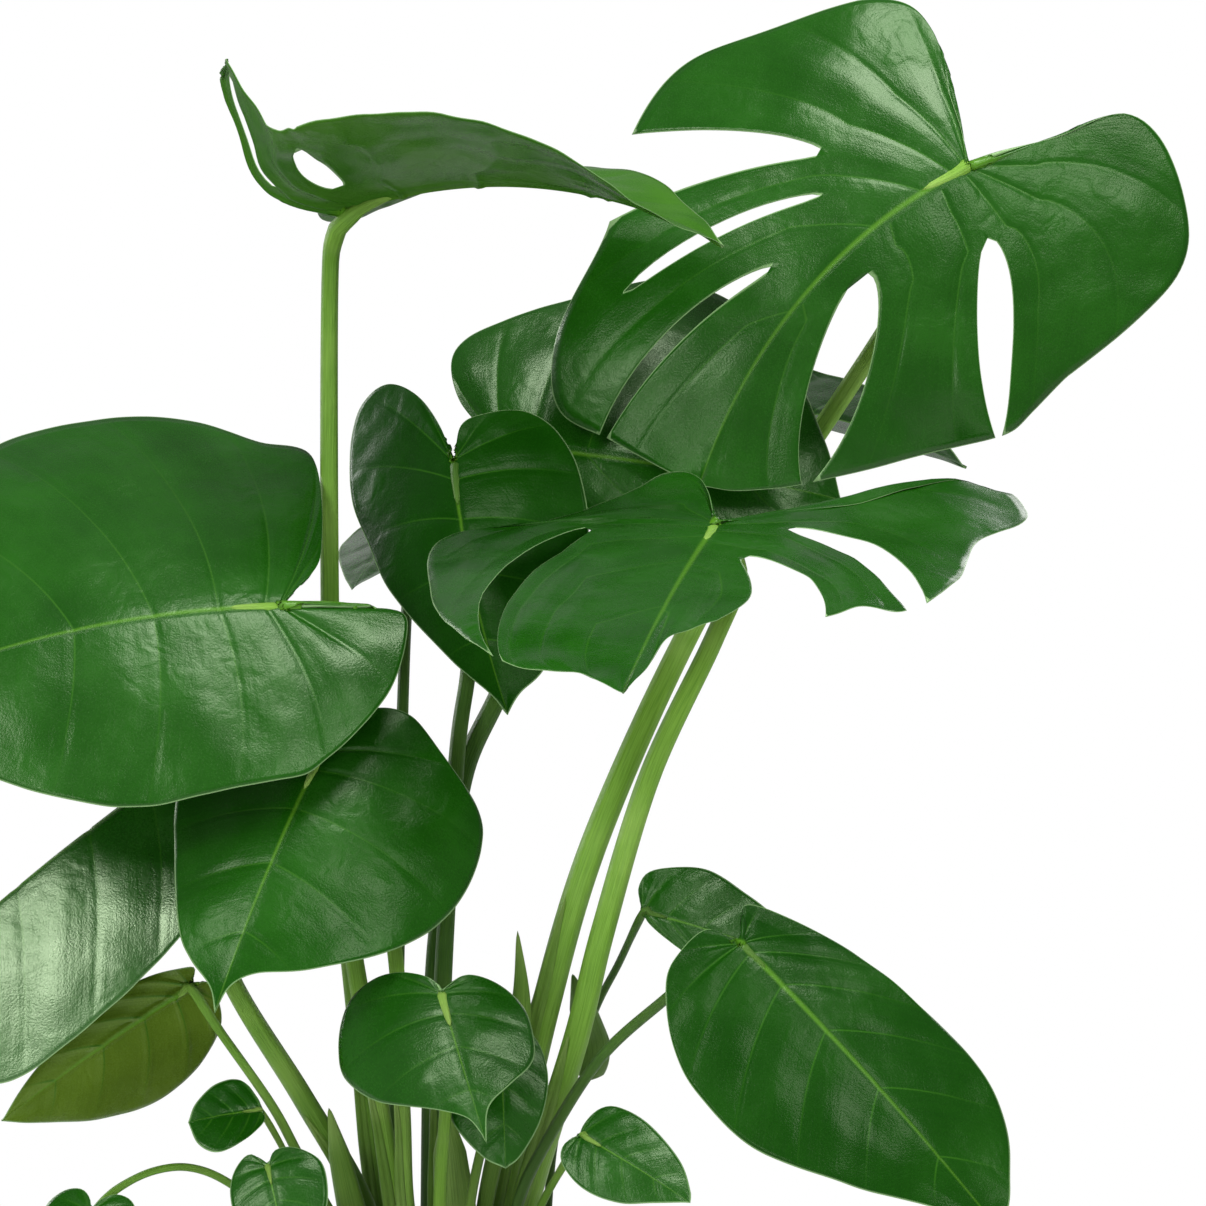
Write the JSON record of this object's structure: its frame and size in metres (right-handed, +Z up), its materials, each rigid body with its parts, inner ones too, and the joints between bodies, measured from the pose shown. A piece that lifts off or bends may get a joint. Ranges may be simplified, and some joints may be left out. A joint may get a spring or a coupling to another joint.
{
  "type": "potted monstera plant",
  "caption": "Leafy Swiss cheese plant with split and whole heart-shaped leaves on long stalks, standing in soil in a plain round tapered nursery pot.",
  "frame": {"origin": "middle of the pot's flat underside", "axes": "+X to the plant's right as seen from its front, -Y out of its front, +Z up"},
  "size_m": [0.7407, 0.5367, 0.9496],
  "materials": {
    "pot_plastic": "plain dark grey moulded nursery pot plastic, softly matt",
    "potting_mix": "loose dark potting mix of peat and bark crumbs",
    "leaf_blade": "deep green waxy leaf, satin sheen, paler veins and underside",
    "young_leaf": "yellow-green thin young leaf, net veined",
    "stalk_skin": "fresh green smooth leaf stalk with fine lengthwise streaks",
    "sheath_skin": "pale yellow-green papery sheath"
  },
  "bodies": {
    "root": {"leaf_behind_centre": "leaf_blade", "leaf_behind_right": "leaf_blade", "leaf_behind_top": "leaf_blade", "leaf_centre_dark": "leaf_blade", "leaf_centre_split": "leaf_blade", "leaf_front_centre": "leaf_blade", "leaf_front_centre_low": "leaf_blade", "leaf_front_right": "leaf_blade", "leaf_left_glossy": "leaf_blade", "leaf_left_large": "leaf_blade", "leaf_left_middle": "leaf_blade", "leaf_low_front_left": "leaf_blade", "leaf_low_left_edge": "leaf_blade", "leaf_low_left_pale": "young_leaf", "leaf_low_left_small": "leaf_blade", "leaf_right_low": "leaf_blade", "leaf_right_small": "leaf_blade", "leaf_rolled_young": "young_leaf", "leaf_top_left": "leaf_blade", "leaf_top_right": "leaf_blade", "pot": "pot_plastic", "sheath_centre": "sheath_skin", "sheath_left": "sheath_skin", "sheath_right": "sheath_skin", "soil": "potting_mix", "stalk_behind_centre": "stalk_skin", "stalk_behind_right": "stalk_skin", "stalk_behind_top": "stalk_skin", "stalk_centre_dark": "stalk_skin", "stalk_centre_split": "stalk_skin", "stalk_front_centre": "stalk_skin", "stalk_front_centre_low": "stalk_skin", "stalk_front_right": "stalk_skin", "stalk_left_glossy": "stalk_skin", "stalk_left_large": "stalk_skin", "stalk_left_middle": "stalk_skin", "stalk_low_front_left": "stalk_skin", "stalk_low_left_edge": "stalk_skin", "stalk_low_left_pale": "stalk_skin", "stalk_low_left_small": "stalk_skin", "stalk_right_low": "stalk_skin", "stalk_right_small": "stalk_skin", "stalk_rolled_young": "stalk_skin", "stalk_top_left": "stalk_skin", "stalk_top_right": "stalk_skin"}
  },
  "joints": []
}
